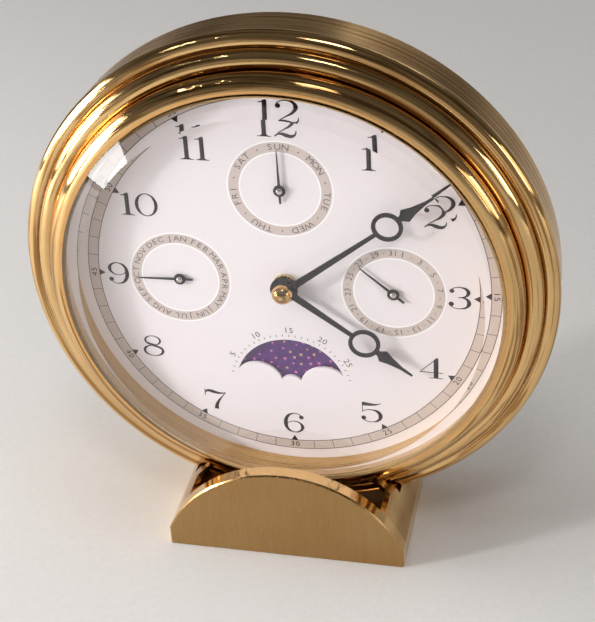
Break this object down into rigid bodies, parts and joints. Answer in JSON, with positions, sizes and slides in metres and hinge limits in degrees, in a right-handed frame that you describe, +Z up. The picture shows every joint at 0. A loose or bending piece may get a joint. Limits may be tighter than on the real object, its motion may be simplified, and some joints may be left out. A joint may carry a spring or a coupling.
{
  "type": "desk clock with calendar",
  "caption": "Round desk clock with a beaded metal bezel, bevelled glass, day, date, month and moon displays, on a low base.",
  "frame": {"origin": "on the resting surface, under the middle of the object's box", "axes": "+X to the viewer's right, +Z up; the dial faces -Y and its axis lies along Y"},
  "size_m": [0.1442, 0.053, 0.1502],
  "materials": {
    "polished_brass": "mirror polished and lacquered, turned beads",
    "brushed_brass": "fine straight or circular brushing, lacquered",
    "cover_brass": "satin",
    "sheet_brass": "satin sheet",
    "bevelled_glass": "polished, broad bevel",
    "gasket": "soft honey-coloured silicone",
    "dial_white": "matt white paint, printed in black and beige",
    "moon_blue": "satin paint, gold and rose stars",
    "hand_black": "satin black",
    "steel": "bright turned",
    "felt": "short felt",
    "zinc": "as cast zinc",
    "brass_wheel": "stamped and turned",
    "knob_plastic": "matt",
    "nylon": "moulded",
    "spring_steel": "blued grey",
    "plate_steel": "nickel plated",
    "magnet": "sintered",
    "copper_wire": "lacquered winding",
    "board_green": "solder resist",
    "nickel": "nickel plated",
    "movement_black": "fine moulded grain",
    "battery_jacket": "plain printed sleeve"
  },
  "bodies": {
    "case": {"bezel": "polished_brass", "glass": "bevelled_glass", "glass_gasket": "gasket", "dial_ring": "brushed_brass", "dial": "dial_white", "rear_case": "brushed_brass", "back_cover": "cover_brass", "cover_screws": "steel", "case_screws": "steel", "base_plate": "brushed_brass", "base_shell": "sheet_brass", "base_floor": "sheet_brass", "felt_pad": "felt", "saddle": "zinc", "saddle_screws": "steel", "plate_screws": "steel", "jumper_springs": "spring_steel", "corrector_springs": "spring_steel", "centre_bush": "brass_wheel", "calendar_plate": "plate_steel", "dial_pillars": "brass_wheel", "motor_pillars": "brass_wheel", "stator": "plate_steel", "coil": "copper_wire", "circuit_board": "board_green", "quartz_crystal": "nickel", "motor_front_plate": "movement_black", "motor_case": "movement_black", "train_bridge": "nylon", "battery": "battery_jacket", "battery_contacts": "nickel"},
    "minutes": {"minute_arbor": "brass_wheel", "minute_hand": "hand_black", "hand_nut": "polished_brass"},
    "hours": {"hour_wheel": "brass_wheel", "hour_hand": "hand_black"},
    "setting": {"minute_wheel": "brass_wheel", "set_knob": "knob_plastic"},
    "day_drive": {"day_drive_wheel": "nylon"},
    "moon_drive": {"moon_drive_wheel": "nylon"},
    "weekday": {"day_star": "brass_wheel", "day_hand": "hand_black"},
    "date": {"date_star": "brass_wheel", "date_hand": "hand_black"},
    "month": {"month_star": "brass_wheel", "month_hand": "hand_black"},
    "moon": {"moon_star": "brass_wheel", "moon_disc": "moon_blue"},
    "centre_train": {"centre_wheel": "brass_wheel"},
    "third_train": {"third_wheel": "nylon"},
    "fourth_train": {"fourth_wheel": "nylon"},
    "step_train": {"step_wheel": "nylon"},
    "motor_rotor": {"rotor": "magnet"},
    "day_button": {"day_corrector": "steel"},
    "date_button": {"date_corrector": "steel"},
    "month_button": {"month_corrector": "steel"},
    "moon_button": {"moon_corrector": "steel"}
  },
  "joints": [
    {"name": "minute_turn", "type": "hinge", "parent": "case", "child": "minutes", "pos_m": [0, -0.006, 0.0781], "axis": [0, 1, 0], "continuous": true},
    {"name": "hour_turn", "type": "hinge", "parent": "case", "child": "hours", "pos_m": [0, -0.006, 0.0781], "axis": [0, 1, 0], "continuous": true},
    {"name": "set_knob_turn", "type": "hinge", "parent": "case", "child": "setting", "pos_m": [0.0099, -0.006, 0.07671], "axis": [0, 1, 0], "continuous": true},
    {"name": "day_drive_turn", "type": "hinge", "parent": "case", "child": "day_drive", "pos_m": [0.0099, -0.006, 0.088], "axis": [0, 1, 0], "continuous": true},
    {"name": "moon_drive_turn", "type": "hinge", "parent": "case", "child": "moon_drive", "pos_m": [-0.007, -0.006, 0.06597], "axis": [0, 1, 0], "continuous": true},
    {"name": "weekday_turn", "type": "hinge", "parent": "case", "child": "weekday", "pos_m": [0, -0.006, 0.107], "axis": [0, 1, 0], "continuous": true},
    {"name": "date_turn", "type": "hinge", "parent": "case", "child": "date", "pos_m": [0.0289, -0.006, 0.0781], "axis": [0, 1, 0], "continuous": true},
    {"name": "moon_turn", "type": "hinge", "parent": "case", "child": "moon", "pos_m": [0, -0.006, 0.0452], "axis": [0, 1, 0], "continuous": true},
    {"name": "month_turn", "type": "hinge", "parent": "case", "child": "month", "pos_m": [-0.0289, -0.006, 0.0781], "axis": [0, 1, 0], "continuous": true},
    {"name": "rotor_turn", "type": "hinge", "parent": "case", "child": "motor_rotor", "pos_m": [-0.01852, -0.006, 0.08988], "axis": [0, 1, 0], "continuous": true},
    {"name": "step_wheel_turn", "type": "hinge", "parent": "case", "child": "step_train", "pos_m": [-0.01335, -0.006, 0.08896], "axis": [0, 1, 0], "continuous": true},
    {"name": "fourth_wheel_turn", "type": "hinge", "parent": "case", "child": "fourth_train", "pos_m": [-0.00803, -0.006, 0.0899], "axis": [0, 1, 0], "continuous": true},
    {"name": "third_wheel_turn", "type": "hinge", "parent": "case", "child": "third_train", "pos_m": [-0.00141, -0.006, 0.08608], "axis": [0, 1, 0], "continuous": true},
    {"name": "centre_wheel_turn", "type": "hinge", "parent": "case", "child": "centre_train", "pos_m": [0, -0.006, 0.0781], "axis": [0, 1, 0], "continuous": true},
    {"name": "day_push", "type": "slide", "parent": "case", "child": "day_button", "axis": [0, -1, 0], "range_m": [0, 0.0012], "stiffness_N_per_m": 400, "springref_m": -0.0015, "deforming": ["corrector_springs"]},
    {"name": "date_push", "type": "slide", "parent": "case", "child": "date_button", "axis": [0, -1, 0], "range_m": [0, 0.0012], "stiffness_N_per_m": 400, "springref_m": -0.0015, "deforming": ["corrector_springs"]},
    {"name": "month_push", "type": "slide", "parent": "case", "child": "month_button", "axis": [0, -1, 0], "range_m": [0, 0.0012], "stiffness_N_per_m": 400, "springref_m": -0.0015, "deforming": ["corrector_springs"]},
    {"name": "moon_push", "type": "slide", "parent": "case", "child": "moon_button", "axis": [0, -1, 0], "range_m": [0, 0.0012], "stiffness_N_per_m": 400, "springref_m": -0.0015, "deforming": ["corrector_springs"]}
  ],
  "couplings": [
    {"joint": "hour_turn", "follows": "minute_turn", "ratio": 0.083333},
    {"joint": "set_knob_turn", "follows": "minute_turn", "ratio": -0.33333},
    {"joint": "day_drive_turn", "follows": "minute_turn", "ratio": -0.041667},
    {"joint": "moon_drive_turn", "follows": "minute_turn", "ratio": -0.041667},
    {"joint": "weekday_turn", "follows": "minute_turn", "ratio": 0.0059524},
    {"joint": "date_turn", "follows": "minute_turn", "ratio": 0.0013441},
    {"joint": "moon_turn", "follows": "minute_turn", "ratio": 0.00070621},
    {"joint": "step_wheel_turn", "follows": "rotor_turn", "ratio": -0.16667},
    {"joint": "fourth_wheel_turn", "follows": "rotor_turn", "ratio": 0.033333},
    {"joint": "third_wheel_turn", "follows": "rotor_turn", "ratio": -0.0044444},
    {"joint": "centre_wheel_turn", "follows": "rotor_turn", "ratio": 0.00055556}
  ]
}
